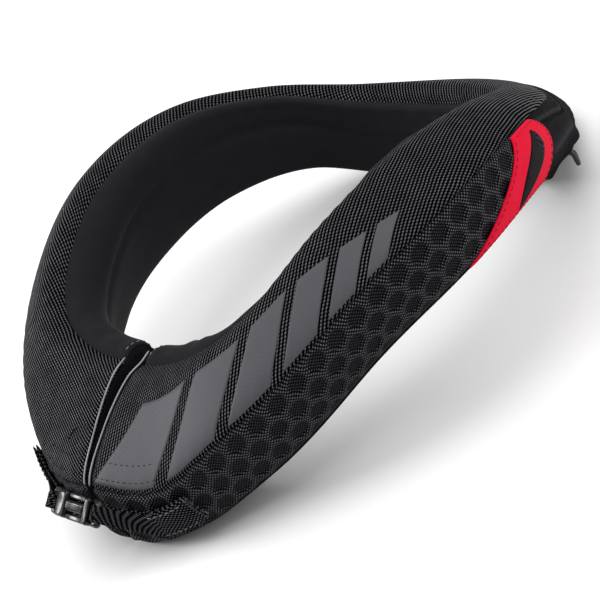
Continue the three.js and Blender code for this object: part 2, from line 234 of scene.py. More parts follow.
# Closed-cell foam, cut: a dull dark surface full of fine pores that swallows the light.
PORE_SIZE = 1.2
foam_material, tree, shader = new_material("closed_cell_foam", {"Roughness": 0.9, "Specular IOR Level": 0.2})
where = add_node(tree, "ShaderNodeTexCoord").outputs["Object"]
pores = add_node(tree, "ShaderNodeTexVoronoi", {"Vector": where, "Scale": 1 / (PORE_SIZE * MM)})
foam_tint = add_node(tree, "ShaderNodeMix", {"Factor": pores.outputs["Distance"], 6: linear("#26262a"),
                                             7: linear("#3a3a40")}, data_type="RGBA")
tree.links.new(foam_tint.outputs[2], shader.inputs["Base Color"])
pore_bump = add_node(tree, "ShaderNodeBump", {"Height": pores.outputs["Distance"], "Strength": 0.4,
                                              "Distance": 0.4 * MM})
tree.links.new(pore_bump.outputs["Normal"], shader.inputs["Normal"])

FOAM_ANGLES = np.concatenate([[1.2], np.arange(3, 358, 3), [358.8]])
FOAM_COLUMNS = 66
foam_points = []
for angle in FOAM_ANGLES:
    row, _ = pad_points(angle, np.arange(FOAM_COLUMNS) * CORNERS / FOAM_COLUMNS, -COVER - FOAM_CLEARANCE)
    foam_points.extend(row)
foam_faces = grid_faces(len(FOAM_ANGLES), FOAM_COLUMNS, closed=True)
foam_faces.append(tuple(range(FOAM_COLUMNS))[::-1])
foam_faces.append(tuple(range(len(foam_points) - FOAM_COLUMNS, len(foam_points))))
foam_pad = new_piece("foam_pad", foam_points, foam_faces)
finish_piece(foam_pad, foam_material, ["foam_core"])

# Top panel: one long piece of coarse basket-woven nylon, from the neck seam over the crest to the outer seam.
# It is stretched over the foam and sewn to its neighbours, so it dips into the seams and puckers beside them.
SEAM_DEPTH = 1.0
SEAM_WIDTH = 1.6
SEAM_CALM = 3.0
FOLD_RISE = 0.45
FOLD_PLACE = 1.1
PUCKER = 0.22
PUCKER_PITCH = 7.0
PUCKER_REACH = 3.0
TOP_SLACK = 0.35
CLOTH_THICKNESS = 1.6
FLAT_SWEEP = 0.862
rng = np.random.default_rng(7)
WAVES = [(rng.uniform(0.02, 0.09), rng.uniform(0.03, 0.12), rng.uniform(0, 6.28)) for _ in range(6)]


def slack(along, across):
    """Slow rise and fall of cloth over foam, between -1 and 1, by place on the cloth in mm."""
    total = sum(np.sin(kx * along + ky * across + phase) for kx, ky, phase in WAVES)
    return total / len(WAVES)


def seam_dip(distance):
    """How far cloth sinks at a distance in mm from the line of stitches that holds it."""
    return -SEAM_DEPTH * np.exp(-(distance / SEAM_WIDTH) ** 2)


def puckers(along, distance):
    """Small pleats that stand off a seam and fade with distance from it."""
    wave = np.sin(2 * np.pi * along / PUCKER_PITCH + 1.7 * np.sin(along * 0.11))
    return PUCKER * wave * np.exp(-((distance - PUCKER_REACH) / PUCKER_REACH) ** 2)


def map_cloth(piece, on_cloth):
    """Gives a piece its UV map, the place of each point on the flat cloth in mm."""
    corner_points = np.zeros(len(piece.data.loops), int)
    piece.data.loops.foreach_get("vertex_index", corner_points)
    uv = piece.data.uv_layers.new(name="cloth_mm")
    uv.data.foreach_set("uv", np.asarray(on_cloth)[corner_points].ravel())


def sheet_faces(rows, columns):
    """Faces of a closed sheet: a grid for the outside, one after it for the inside, and the rim of both."""
    count = rows * columns
    outside = grid_faces(rows, columns)
    inside = [tuple(k + count for k in reversed(face)) for face in outside]
    border = list(range(columns)) + [i * columns + columns - 1 for i in range(1, rows)]
    border += [(rows - 1) * columns + j for j in range(columns - 2, -1, -1)]
    border += [i * columns for i in range(rows - 2, 0, -1)]
    rim = [(b, a, a + count, b + count) for a, b in zip(border, border[1:] + border[:1])]
    return outside + inside + rim


def cloth_panel(name, angles, start, end, columns, shape, cut_flat=False, marks=None):
    """A closed sheet of cover between two corners. shape(along, across, width) lifts it off the pad, in mm.
    Its UV map holds the place on the cloth in mm: along the strip, or on the plan for a panel cut flat.
    marks(along, across) gives a share from 0 to 1 that the material reads as the attribute mark.
    Returns the piece, the size of the cut in metres, its area and a function that gives places on it."""
    rows, acrosses, widths, middles, firsts = [], [], [], [], []
    for angle in angles:
        places, across = pad_row(angle, start, end, columns)
        bare = pad_points(angle, places)[0]
        rows.append(places)
        acrosses.append(across)
        widths.append(across[-1])
        middles.append(bare[columns // 2])
        firsts.append(math.hypot(bare[0][0], bare[0][1] - RING_CENTRE_Y))
    acrosses, widths, middles = np.array(acrosses), np.array(widths)[:, None], np.array(middles)
    along = run_along(middles)[:, None]
    lifts = shape(along, acrosses, widths)
    outer, inner = [], []
    for i, angle in enumerate(angles):
        outer.append(pad_points(angle, rows[i], lifts[i])[0])
        inner.append(pad_points(angle, rows[i], np.minimum(lifts[i] - 0.4, -CLOTH_THICKNESS))[0])
    piece = new_piece(name, np.concatenate(outer + inner), sheet_faces(len(angles), columns))
    on_cloth = np.column_stack([np.repeat(along[:, 0], columns), acrosses.ravel()])
    if cut_flat:
        turns = np.radians(180 + (np.asarray(angles) - 180) * FLAT_SWEEP)[:, None]
        spread = np.array(firsts)[:, None] / FLAT_SWEEP + acrosses
        on_cloth = np.column_stack([(-spread * np.cos(turns)).ravel(), (spread * np.sin(turns)).ravel()])
    map_cloth(piece, np.concatenate([on_cloth, on_cloth]))
    if marks is not None:
        marked = marks(along, acrosses).ravel()
        attribute = piece.data.attributes.new("mark", "FLOAT", "POINT")
        attribute.data.foreach_set("value", np.concatenate([marked, marked]))
    length, width = along[-1, 0], widths.max()
    area = np.sum((widths[1:, 0] + widths[:-1, 0]) / 2 * np.diff(along[:, 0]))

    def laid(angle, share):
        """Point on the outside of this panel and the way out, at a ring angle and a share of its width."""
        row = float(np.interp(angle, angles, np.arange(len(angles))))
        i = min(int(row), len(angles) - 2)
        places, across = pad_row(angle, start, end, columns)
        at = share * across[-1]
        lift = np.interp(at, across, lifts[i] + (row - i) * (lifts[i + 1] - lifts[i]))
        point, outward = pad_points(angle, [np.interp(at, across, places)], lift)
        return point[0], outward[0]

    return piece, (width * MM, length * MM), area * MM * MM, laid


def calm(edge):
    """0 at a seam, where neighbours must meet, and 1 a few mm away from it."""
    return 1 - np.exp(-(edge / SEAM_CALM) ** 2)


def ring_angles(start, end, step):
    """Evenly spaced ring angles in degrees, with both ends."""
    return np.linspace(start, end, int(round((end - start) / step)) + 1)


def end_distance(along):
    """Distance along the cloth to the nearer of its two cut ends, in mm."""
    return np.minimum(along, along[-1] - along)


def top_shape(along, across, width):
    """Height of the top panel off the pad, in mm."""
    edge = np.minimum(across, width - across)
    ends = end_distance(along)
    fold = FOLD_RISE * np.exp(-((width - across - FOLD_PLACE) / 0.6) ** 2)
    loose = calm(edge) * (puckers(along, edge) + TOP_SLACK * slack(along, across))
    return seam_dip(edge) + seam_dip(ends) + fold + loose


# Coated black nylon in a basket weave: each float of thread catches the light, painted as a pale grey
# highlight, and the holes between are black with painted shade.
# The threads run from front to back on both arms, because the panel is cut flat in one piece, as a ring that
# is open wider than the finished collar.
WEAVE_PITCH = (1.14, 0.78)
WEAVE_LEAN = 0.66
# Size in mm of the random patches in which the floats' painted highlight is weaker.
HIGHLIGHT_PATCH = 6.25
nylon_material, tree, shader = new_material("basket_woven_nylon", {"Roughness": 0.45})


def weave_height(tree, pitch, lean=0.5):
    """Height of a weave from -1 to 1 on the cloth's own map, with one float of thread in each pitch.
    A lean over a half joins the floats along one diagonal, as in a twill."""
    place = add_node(tree, "ShaderNodeUVMap", uv_map="cloth_mm").outputs["UV"]
    wobble = add_node(tree, "ShaderNodeTexNoise", {"Vector": place, "Scale": 0.08, "Detail": 1.0})
    moved = add_node(tree, "ShaderNodeVectorMath", {0: wobble.outputs["Color"], 1: place},
                     operation="ADD")
    axes = add_node(tree, "ShaderNodeSeparateXYZ", {"Vector": moved.outputs[0]})
    turned = []
    for axis, step in zip(("X", "Y"), pitch):
        turned.append(add_node(tree, "ShaderNodeMath", {0: axes.outputs[axis], 1: math.pi / step},
                               operation="MULTIPLY").outputs[0])
    waves = []
    for way, weight in (("SUBTRACT", 1 - lean), ("ADD", -lean)):
        phase = add_node(tree, "ShaderNodeMath", {0: turned[0], 1: turned[1]}, operation=way)
        wave = add_node(tree, "ShaderNodeMath", {0: phase.outputs[0]}, operation="COSINE")
        scaled = add_node(tree, "ShaderNodeMath", {0: wave.outputs[0], 1: weight}, operation="MULTIPLY")
        waves.append(scaled.outputs[0])
    return add_node(tree, "ShaderNodeMath", {0: waves[0], 1: waves[1]}, operation="ADD").outputs[0]


def weave_look(tree, shader, pitch, dark, light, low, high, depth, gloss, lean=0.5):
    """Colours a weave between the holes and the floats of thread: the dark colour is painted shade in the
    holes and the light colour painted highlight on the floats. The floats stand depth mm up and shine. In
    random patches the floats are darker, so their painted highlight is uneven."""
    height = weave_height(tree, pitch, lean)
    float_share = add_node(tree, "ShaderNodeMapRange", {"Value": height, "From Min": low, "From Max": high},
                           interpolation_type="SMOOTHSTEP")
    where = add_node(tree, "ShaderNodeTexCoord").outputs["Object"]
    patches = add_node(tree, "ShaderNodeTexNoise", {"Vector": where, "Scale": 1 / (HIGHLIGHT_PATCH * MM),
                                                    "Detail": 4.0})
    # Random patches that make the floats' painted highlight weaker.
    uneven_highlight = add_node(tree, "ShaderNodeMapRange", {"Value": patches.outputs["Fac"], "From Min": 0.3,
                                                 "From Max": 0.7, "To Min": 0.6, "To Max": 1.0})
    share = add_node(tree, "ShaderNodeMath", {0: float_share.outputs[0], 1: uneven_highlight.outputs[0]},
                     operation="MULTIPLY")
    # Painted shade in the holes (dark colour) and painted highlight on the floats (light colour).
    tint = add_node(tree, "ShaderNodeMix", {"Factor": share.outputs[0], 6: linear(dark), 7: linear(light)},
                    data_type="RGBA")
    tree.links.new(tint.outputs[2], shader.inputs["Base Color"])
    shine = add_node(tree, "ShaderNodeMath", {0: share.outputs[0], 1: gloss}, operation="MULTIPLY")
    shader.inputs["Specular IOR Level"].default_value = gloss / 2
    tree.links.new(shine.outputs[0], shader.inputs["Specular IOR Level"])
    bump = add_node(tree, "ShaderNodeBump", {"Height": height, "Strength": 0.7, "Distance": depth * MM})
    tree.links.new(bump.outputs["Normal"], shader.inputs["Normal"])


weave_look(tree, shader, WEAVE_PITCH, "#030304", "#4e4e53", 0.0, 0.85, 0.4, 0.5, lean=WEAVE_LEAN)
top_cloth, flat, area, on_top = cloth_panel("top_cloth", ring_angles(0, 360, 0.5), NECK_SEAM, OUTER_SEAM, 44,
                                            top_shape, cut_flat=True)
finish_piece(top_cloth, nylon_material, ["top_panel"])

# Print: a satin grey film pressed onto the near arm's weave, so thin that the threads show through a little.
# It is a row of slanted blocks that get shorter and lower towards the back.
PRINT_BLOCKS = [(0.9, 12.0), (14.5, 24.0), (26.5, 34.5), (37.0, 44.0), (46.5, 52.5), (55.0, 60.0)]
PRINT_TOP_ANGLES = [0, 20, 40, 70]
PRINT_TOP_SHARES = [0.38, 0.3, 0.36, 0.74]
PRINT_BOTTOM = 0.955
PRINT_SLANT = 7.0
PRINT_STAND, PRINT_THICKNESS, PRINT_RIM, PRINT_RIM_DROP = 0.16, 0.3, 0.3, 0.1


def patch_mesh(rows, columns, lay, stand, thickness, edge, rim_drop):
    """Points and faces of a sheet laid on a surface, and the place on the sheet in mm. lay(s, t) gives a
    point of the surface and the way out of it. The sheet's rim, edge mm wide, goes down by rim_drop."""
    bare, out = np.zeros((rows, columns, 3)), np.zeros((rows, columns, 3))
    for i in range(rows):
        for j in range(columns):
            bare[i, j], out[i, j] = lay(i / (rows - 1), j / (columns - 1))
    down, along = run_along(bare), run_along(bare, 1)
    rim = np.minimum(np.minimum(along, along[:, -1:] - along), np.minimum(down, down[-1:] - down))
    height = stand - rim_drop * np.clip(1 - rim / edge, 0, 1) ** 2
    outer = bare + out * height[:, :, None]
    inner = bare + out * (stand - thickness)
    points = np.concatenate([outer.reshape(-1, 3), inner.reshape(-1, 3)])
    on_sheet = np.stack([along, down], axis=2).reshape(-1, 2)
    return points, sheet_faces(rows, columns), np.concatenate([on_sheet, on_sheet])


def join_parts(name, parts):
    """One mapped piece from several parts, each with its points, faces and places on the sheet."""
    points, faces, on_sheet = [], [], []
    for part_points, part_faces, part_map in parts:
        faces += [tuple(k + len(points) for k in face) for face in part_faces]
        points.extend(part_points)
        on_sheet.extend(part_map)
    piece = new_piece(name, points, faces)
    map_cloth(piece, on_sheet)
    return piece


# Satin print ink: mid grey and even, with the weave under it just showing as a fine relief.
ink_material, tree, shader = new_material("satin_print_ink", {"Base Color": linear("#444449"),
                                                              "Roughness": 0.48, "Specular IOR Level": 0.2})
relief = weave_height(tree, WEAVE_PITCH, WEAVE_LEAN)
ink_bump = add_node(tree, "ShaderNodeBump", {"Height": relief, "Strength": 0.25, "Distance": 0.15 * MM})
tree.links.new(ink_bump.outputs["Normal"], shader.inputs["Normal"])

print_parts = []
for first, last in PRINT_BLOCKS:
    def block_place(s, t):
        """Point of the top panel under this block and the way out, at shares of its height and width."""
        angle = first + (last - first) * t + PRINT_SLANT * (1 - s)
        top = np.interp(angle, PRINT_TOP_ANGLES, PRINT_TOP_SHARES)
        return on_top(angle, top + (PRINT_BOTTOM - top) * s)

    print_parts.append(patch_mesh(26, 20, block_place, PRINT_STAND, PRINT_THICKNESS, PRINT_RIM,
                                  PRINT_RIM_DROP))
arm_print = join_parts("arm_print", print_parts)
finish_piece(arm_print, ink_material)

# Neck lining: smooth stretch knit on the neck side, cut long and folded over a soft roll at its top edge.
# It lies loose over the foam, so it creases under the roll and ripples a little beside the neck seam.
ROLL_CREASE = 1.1
ROLL_CREASE_PLACE = 0.62
ROLL_CREASE_WIDTH = 2.6
NECK_RIPPLE, NECK_RIPPLE_PLACE = 0.2, 5
NECK_SLACK = 0.5
# Small lumps beside the split: the place along the cloth in mm, the share of its width and the rise in mm.
NECK_BUMPS = [(20.0, 0.8, 1.0), (28.0, 0.8, 0.8)]


def lining_shape(along, across, width):
    """Height of the lining off the pad, in mm."""
    share = across / width
    edge = np.minimum(across, width - across)
    ends = end_distance(along)
    crease = -ROLL_CREASE * np.exp(-((across - ROLL_CREASE_PLACE * width) / ROLL_CREASE_WIDTH) ** 2)
    from_seam = (width - across - NECK_RIPPLE_PLACE) / NECK_RIPPLE_PLACE
    ripple = NECK_RIPPLE * np.sin(along * 0.42 + 2.0 * np.sin(along * 0.07)) * np.exp(-from_seam**2)
    lifted = np.zeros_like(share)
    for place, level, rise in NECK_BUMPS:
        lifted = lifted + rise * np.exp(-((along - place) / 3.0) ** 2 - ((share - level) / 0.1) ** 2)
    loose = calm(edge) * (ripple + lifted + NECK_SLACK * slack(along, across))
    return seam_dip(edge) + seam_dip(ends) + crease + loose


# Polyester stretch knit, brushed: fine ribs along the cloth, matt, with a soft pale sheen at grazing angles.
# The ribs are drawn about twice as coarse as real ones, which would not show.
KNIT_PITCH = (0.9, 0.5)
knit_material, tree, shader = new_material("stretch_knit", {"Roughness": 0.7, "Sheen Weight": 0.05,
                                                            "Sheen Roughness": 0.4})
weave_look(tree, shader, KNIT_PITCH, "#19191c", "#1f1f22", -0.6, 0.8, 0.02, 0.06)
neck_cloth, flat, area, on_lining = cloth_panel("neck_cloth", ring_angles(0, 360, 1), FOOT, NECK_SEAM, 52,
                                                lining_shape)
finish_piece(neck_cloth, knit_material, ["neck_lining"])

# Side panels: black spacer mesh, a knitted net over a thick open layer, moulded with rows of sunk cells.
# One piece on each arm from the split to the back seam, sewn in along the outer seam and the hem.
BACK_SEAM = 108
CELL_PITCH = 10.4
CELL_RADIUS = 3.9
CELL_EDGE = 0.8
CELL_DEPTH = 1.0
CELL_FIRST_ROW = 6.0
CELL_FADE = 3.0
SIDE_SLACK = 0.4


def cell_share(along, across):
    """1 inside a sunk cell and 0 between cells, on a staggered lattice."""
    row_pitch = CELL_PITCH * math.sqrt(3) / 2
    row = np.round((across - CELL_FIRST_ROW) / row_pitch)
    best = np.full(across.shape, 1e9)
    for near in (-1, 0, 1):
        line = row + near
        shift = np.where(line % 2 == 0, 0.0, CELL_PITCH / 2)
        nearest = np.round((along - shift) / CELL_PITCH) * CELL_PITCH + shift
        away = np.hypot(along - nearest, across - CELL_FIRST_ROW - line * row_pitch)
        best = np.minimum(best, away)
    t = np.clip((CELL_RADIUS + CELL_EDGE - best) / (2 * CELL_EDGE), 0, 1)
    return t * t * (3 - 2 * t)


def side_shape(along, across, width):
    """Height of a side panel off the pad, in mm."""
    edge = np.minimum(across, width - across)
    ends = end_distance(along)
    fade = np.clip(edge / CELL_FADE, 0, 1)
    loose = calm(edge) * (puckers(along, edge) + SIDE_SLACK * slack(along, across))
    return seam_dip(edge) + seam_dip(ends) + loose - CELL_DEPTH * fade * cell_share(along, across)


# Polyester spacer mesh: a fine net of shiny black thread. Its grey threads are painted highlight and its
# black holes painted shade. Over a sunk cell, where no padding lies close behind them, both are darker, as
# painted shade in the hollow.
NET_PITCH = (0.8, 0.8)
net_material, tree, shader = new_material("spacer_mesh", {"Roughness": 0.55, "Specular IOR Level": 0.06})
height = weave_height(tree, NET_PITCH)
thread_share = add_node(tree, "ShaderNodeMapRange", {"Value": height, "From Min": 0.2, "From Max": 0.85},
                        interpolation_type="SMOOTHSTEP")
cell_shade = add_node(tree, "ShaderNodeAttribute", attribute_name="mark").outputs["Fac"]
# Inside a sunk cell the holes and the threads are painted darker: painted shade in the hollow. The threads'
# grey is painted highlight.
hole_tint = add_node(tree, "ShaderNodeMix", {"Factor": cell_shade, 6: linear("#030304"), 7: linear("#000000")},
                     data_type="RGBA")
thread_tint = add_node(tree, "ShaderNodeMix", {"Factor": cell_shade, 6: linear("#62626a"), 7: linear("#38383e")},
                       data_type="RGBA")
net_tint = add_node(tree, "ShaderNodeMix", {"Factor": thread_share.outputs[0], 6: hole_tint.outputs[2],
                                            7: thread_tint.outputs[2]}, data_type="RGBA")
tree.links.new(net_tint.outputs[2], shader.inputs["Base Color"])
net_bump = add_node(tree, "ShaderNodeBump", {"Height": height, "Strength": 0.6, "Distance": 0.3 * MM})
tree.links.new(net_bump.outputs["Normal"], shader.inputs["Normal"])

for name, node, start, end in (("side_mesh_left", "side_panel_left", 0, BACK_SEAM),
                               ("side_mesh_right", "side_panel_right", 360 - BACK_SEAM, 360)):
    side_mesh, flat, area, _ = cloth_panel(name, ring_angles(start, end, 0.25), OUTER_SEAM, HEM, 48,
                                           side_shape, marks=cell_share)
    finish_piece(side_mesh, net_material, [node])

# Back panel: plain closely woven black cloth round the tail, sewn to the mesh sides and to the top panel.
# A seam divides a narrow strip from it under the top panel. The curved cut pulls, so a long fold runs from
# each side seam towards the tail, with a hollow above it, and the cloth stands out at the corner of the hem.
STRIP_WIDTH, STRIP_SPREAD = 5.5, 0.06
STRIP_GROOVE, GROOVE_WIDTH = 1.8, 0.7
PULL_HEIGHT, PULL_WIDTH, PULL_SHARE = 2.2, 2.6, 0.66
HOLLOW_DEPTH, HOLLOW_WIDTH, HOLLOW_SHARE = 1.6, 4.5, 0.45
PULL_FROM, PULL_TO = 3.0, 78.0
PULL_EASE_IN, PULL_EASE_OUT, PULL_DROP = 8, 24, 0.001
STRIP_SPREAD_END = 70
CORNER_RISE, CORNER_PLACE, CORNER_LENGTH, CORNER_HEIGHT, CORNER_WIDTH = 2.6, 62.0, 12, 3, 5
BACK_SLACK = 0.8
# Painted highlight on the back panel: its width on the fold's crest, its place beside the strip's seam and
# its strength there.
HIGHLIGHT_WIDTH, HIGHLIGHT_BESIDE, HIGHLIGHT_SHARE = 1.2, 2.2, 0.6


def strip_line(ends):
    """Distance of the strip's seam from the outer seam, in mm."""
    return STRIP_WIDTH + STRIP_SPREAD * np.minimum(ends, STRIP_SPREAD_END)


def pull_crest(across, width, ends):
    """Distance from the crest of the pulled fold, in mm."""
    return np.abs(across - width * (PULL_SHARE - PULL_DROP * ends))


def pull_strength(ends):
    """0 at the side seam and past the end of the pulled fold, and 1 between."""
    return np.clip((ends - PULL_FROM) / PULL_EASE_IN, 0, 1) * np.clip((PULL_TO - ends) / PULL_EASE_OUT, 0, 1)


def back_shape(along, across, width):
    """Height of the back panel off the pad, in mm."""
    edge = np.minimum(across, width - across)
    ends = end_distance(along)
    share = across / width
    groove = -STRIP_GROOVE * np.exp(-((across - strip_line(ends)) / GROOVE_WIDTH) ** 2)
    pull = PULL_HEIGHT * np.exp(-pull_crest(across, width, ends) / PULL_WIDTH)
    hollow = -HOLLOW_DEPTH * np.exp(-((across - width * HOLLOW_SHARE) / HOLLOW_WIDTH) ** 2)
    corner = CORNER_RISE * np.exp(-((ends - CORNER_PLACE) / CORNER_LENGTH) ** 2
                                  - ((width - across - CORNER_HEIGHT) / CORNER_WIDTH) ** 2)
    loose = puckers(along, edge) + (pull + hollow) * pull_strength(ends) + corner
    loose = loose + BACK_SLACK * slack(along, across) * share
    return seam_dip(edge) + seam_dip(ends) + groove + calm(edge) * loose


def fold_highlight(along, across):
    """How strongly the painted highlight lies on the cloth, from 0 to 1: on the crest of the pulled fold and
    beside the strip.
    """
    ends = end_distance(along)
    crest = np.exp(-pull_crest(across, across[:, -1:], ends) / HIGHLIGHT_WIDTH) * pull_strength(ends)
    beside = strip_line(ends) - across
    return np.maximum(crest, HIGHLIGHT_SHARE * np.exp(-(beside - HIGHLIGHT_BESIDE) ** 2))


# Plain polyester cloth, dyed black: a fine close weave with almost no shine, painted grey as a highlight
# where the mark attribute is set.
PLAIN_PITCH = (0.5, 0.5)
plain_material, tree, shader = new_material("plain_polyester_cloth", {"Roughness": 0.75})
weave_look(tree, shader, PLAIN_PITCH, "#101012", "#18181a", -0.5, 0.7, 0.05, 0.05)
woven_tint = shader.inputs["Base Color"].links[0].from_socket
fold_highlight_share = add_node(tree, "ShaderNodeAttribute", attribute_name="mark").outputs["Fac"]
# Paints the grey highlight on the crest of the pulled fold and beside the strip.
highlighted_tint = add_node(tree, "ShaderNodeMix", {"Factor": fold_highlight_share, 6: woven_tint, 7: linear("#333336")},
                       data_type="RGBA")
tree.links.new(highlighted_tint.outputs[2], shader.inputs["Base Color"])
back_cloth, flat, area, _ = cloth_panel("back_cloth", ring_angles(BACK_SEAM, 360 - BACK_SEAM, 0.5),
                                        OUTER_SEAM, HEM, 64, back_shape, marks=fold_highlight)
finish_piece(back_cloth, plain_material, ["back_panel"])

# Base panel: one strip of the same plain cloth underneath, cut as a ring and sewn in along both hems.
# The collar rests on it, so it lies almost flat.
BASE_SLACK = 0.2


def base_shape(along, across, width):
    """Height of the base panel off the pad, in mm."""
    edge = np.minimum(across, width - across)
    return seam_dip(edge) + seam_dip(end_distance(along)) + BASE_SLACK * calm(edge) * slack(along, across)


base_cloth, flat, area, _ = cloth_panel("base_cloth", ring_angles(0, 360, 1.5), HEM, CORNERS, 24, base_shape)
finish_piece(base_cloth, plain_material, ["base_panel"])

# End caps: a patch of the plain cloth over each end of the foam at the split. The foam behind makes it bulge,
# and its edge is tucked under the ends of the cover panels.
CAP_COLUMNS = 88
CAP_RINGS = 10
CAP_CROWN = 1.6
CAP_INSET = 1.7
CAP_BACK_ANGLE = 0.9
for name, node, front, back in (("end_cloth_left", "end_cap_left", 0, CAP_BACK_ANGLE),
                                ("end_cloth_right", "end_cap_right", 360, 360 - CAP_BACK_ANGLE)):
    places = np.arange(CAP_COLUMNS) * CORNERS / CAP_COLUMNS
    rim, _ = pad_points(front, places, -CAP_INSET)
    behind, _ = pad_points(back, places, -CAP_INSET)
    centre = rim.mean(axis=0)
    ahead = rim.mean(axis=0) - behind.mean(axis=0)
    ahead /= np.linalg.norm(ahead)
    cap_points = list(behind)
    for k in range(CAP_RINGS):
        shrink = 1 - k / CAP_RINGS
        cap_points.extend(centre + (rim - centre) * shrink + ahead * CAP_CROWN * (1 - shrink**2))
    cap_points.append(centre + ahead * CAP_CROWN)
    cap_faces = grid_faces(CAP_RINGS + 1, CAP_COLUMNS, closed=True)
    inmost = CAP_RINGS * CAP_COLUMNS
    tip = len(cap_points) - 1
    cap_faces += [(inmost + j, inmost + (j + 1) % CAP_COLUMNS, tip) for j in range(CAP_COLUMNS)]
    cap_faces.append(tuple(range(CAP_COLUMNS))[::-1])
    end_cloth = new_piece(name, cap_points, cap_faces)
    map_cloth(end_cloth, np.array(cap_points)[:, [1, 2]])
    finish_piece(end_cloth, plain_material, [node])

# Piping: a thin cord sewn into the edge of the top panel along each side of the split, coloured pale grey as
# a painted highlight along the black bound edge. On the wearer's left it goes on over the end of the lining.
PIPING_RADIUS = 0.36
PIPING_STAND = 0.4
CORD_SIDES = 10


def smooth_path(points, count):
    """count points evenly spaced along a smooth open curve through the given points."""
    points = np.asarray(points, float)
    points = np.concatenate([[2 * points[0] - points[1]], points, [2 * points[-1] - points[-2]]])
    fine = []
    for p0, p1, p2, p3 in zip(points, points[1:], points[2:], points[3:]):
        for t in np.linspace(0, 1, FINE, endpoint=False):
            fine.append(0.5 * (2 * p1 + (p2 - p0) * t + (2 * p0 - 5 * p1 + 4 * p2 - p3) * t**2
                               + (3 * p1 - p0 - 3 * p2 + p3) * t**3))
    fine = np.array(fine + [points[-2]])
    length = run_along(fine)
    even = np.linspace(0, length[-1], count)
    return np.column_stack([np.interp(even, length, fine[:, k]) for k in range(3)])


def cord_mesh(path, radius, sides=CORD_SIDES, ends=0.6):
    """Points and faces of a round cord along a path in mm, with rounded ends."""
    path = np.asarray(path, float)
    tangents = np.gradient(path, axis=0)
    tangents /= np.linalg.norm(tangents, axis=1)[:, None]
    helper = np.array([0.31, 0.17, 0.93])
    points = []
    reach = np.arange(len(path))
    swell = np.minimum(1, np.minimum(reach + ends, len(path) - 1 - reach + ends) / (ends + 1))
    for point, tangent, share in zip(path, tangents, swell):
        across = np.cross(tangent, helper)
        across /= np.linalg.norm(across)
        other = np.cross(tangent, across)
        for k in range(sides):
            turn = 2 * math.pi * k / sides
            points.append(point + radius * share * (math.cos(turn) * across + math.sin(turn) * other))
    points.extend([path[0] - tangents[0] * radius * 0.5, path[-1] + tangents[-1] * radius * 0.5])
    faces = grid_faces(len(path), sides, closed=True)
    first, last, body = len(points) - 2, len(points) - 1, (len(path) - 1) * sides
    faces += [((k + 1) % sides, k, first) for k in range(sides)]
    faces += [(body + k, body + (k + 1) % sides, last) for k in range(sides)]
    return points, faces


# Satin polyester cord: smooth and slightly glossy, painted pale grey as the highlight along the edge, darker
# in random patches.
cord_material, tree, shader = new_material("satin_polyester_cord", {"Roughness": 0.4})
where = add_node(tree, "ShaderNodeTexCoord").outputs["Object"]
cord_highlight_patches = add_node(tree, "ShaderNodeTexNoise", {"Vector": where, "Scale": 0.12 / MM, "Detail": 2.0})
# Pale grey painted highlight, darker in random patches.
cord_highlight_tint = add_node(tree, "ShaderNodeMix", {"Factor": cord_highlight_patches.outputs["Fac"], 6: linear("#56565b"),
                                             7: linear("#a2a2a7")}, data_type="RGBA")
tree.links.new(cord_highlight_tint.outputs[2], shader.inputs["Base Color"])

for name, node, angle, inward, top in (("piping_cord_left", "piping_left", 0, -1, NECK_SEAM - 0.7),
                                       ("piping_cord_right", "piping_right", 360, 1, NECK_SEAM - 0.1)):
    edge, _ = pad_points(angle, np.linspace(top, OUTER_SEAM - 0.05, 24), -0.2)
    edge[:, 0] += inward * PIPING_STAND
    cord_points, cord_faces = cord_mesh(smooth_path(edge, 70), PIPING_RADIUS)
    piping = new_piece(name, cord_points, cord_faces)
    finish_piece(piping, cord_material, [node])

# Side label: a leaf of fine woven red cloth on the wearer's left, sewn flat over the mesh behind the arm.
# It is narrow at the outer seam, its front edge sweeps forward to a point at the hem, its back edge bulges.
# A slim dark leaf is woven into the middle of it, and a row of stitches runs round it close to the edge.
LABEL_TOP, LABEL_BOTTOM = 7.04, 8.86
LABEL_FRONT, LABEL_SWEEP, LABEL_SWEEP_POWER = 96.3, 22.5, 1.7
LABEL_BACK, LABEL_BULGE = 114.2, 8.0
LABEL_STAND, LABEL_THICKNESS, LABEL_EDGE = 1.0, 1.0, 0.9
LEAF_TOP, LEAF_BOTTOM, LEAF_HALF_WIDTH = 0.13, 0.93, 0.2
LEAF_SHARES = (0.56, 0.5)
LEAF_STAND, LEAF_THICKNESS = 0.12, 0.3
LABEL_MARGIN = 0.045
LABEL_PITCH = (0.6, 0.4)


def label_place(depth, share):
    """Point of the pad under the label and the way out, at shares of its height and width."""
    front = LABEL_FRONT - LABEL_SWEEP * depth**LABEL_SWEEP_POWER
    back = LABEL_BACK - LABEL_BULGE * (2 * depth - 1) ** 2
    point, outward = pad_points(front + (back - front) * share,
                                [LABEL_TOP + (LABEL_BOTTOM - LABEL_TOP) * depth])
    return point[0], outward[0]


# Woven label satin, dyed red: bright and smooth, with fine ribs, drawn coarser than real ones to show.
label_material, tree, shader = new_material("red_label_satin", {"Roughness": 0.6})
weave_look(tree, shader, LABEL_PITCH, "#cc1430", "#dc1a38", -0.8, 0.6, 0.04, 0.04)
label_cloth = join_parts("label_cloth", [patch_mesh(60, 40, label_place, LABEL_STAND, LABEL_THICKNESS,
                                                    LABEL_EDGE, 0.5)])
finish_piece(label_cloth, label_material, ["side_label"])

# The dark leaf of the label: the same satin with black weft.
leaf_material, tree, shader = new_material("black_label_satin", {"Roughness": 0.5})
weave_look(tree, shader, LABEL_PITCH, "#0b080a", "#120d10", -0.8, 0.6, 0.04, 0.06)


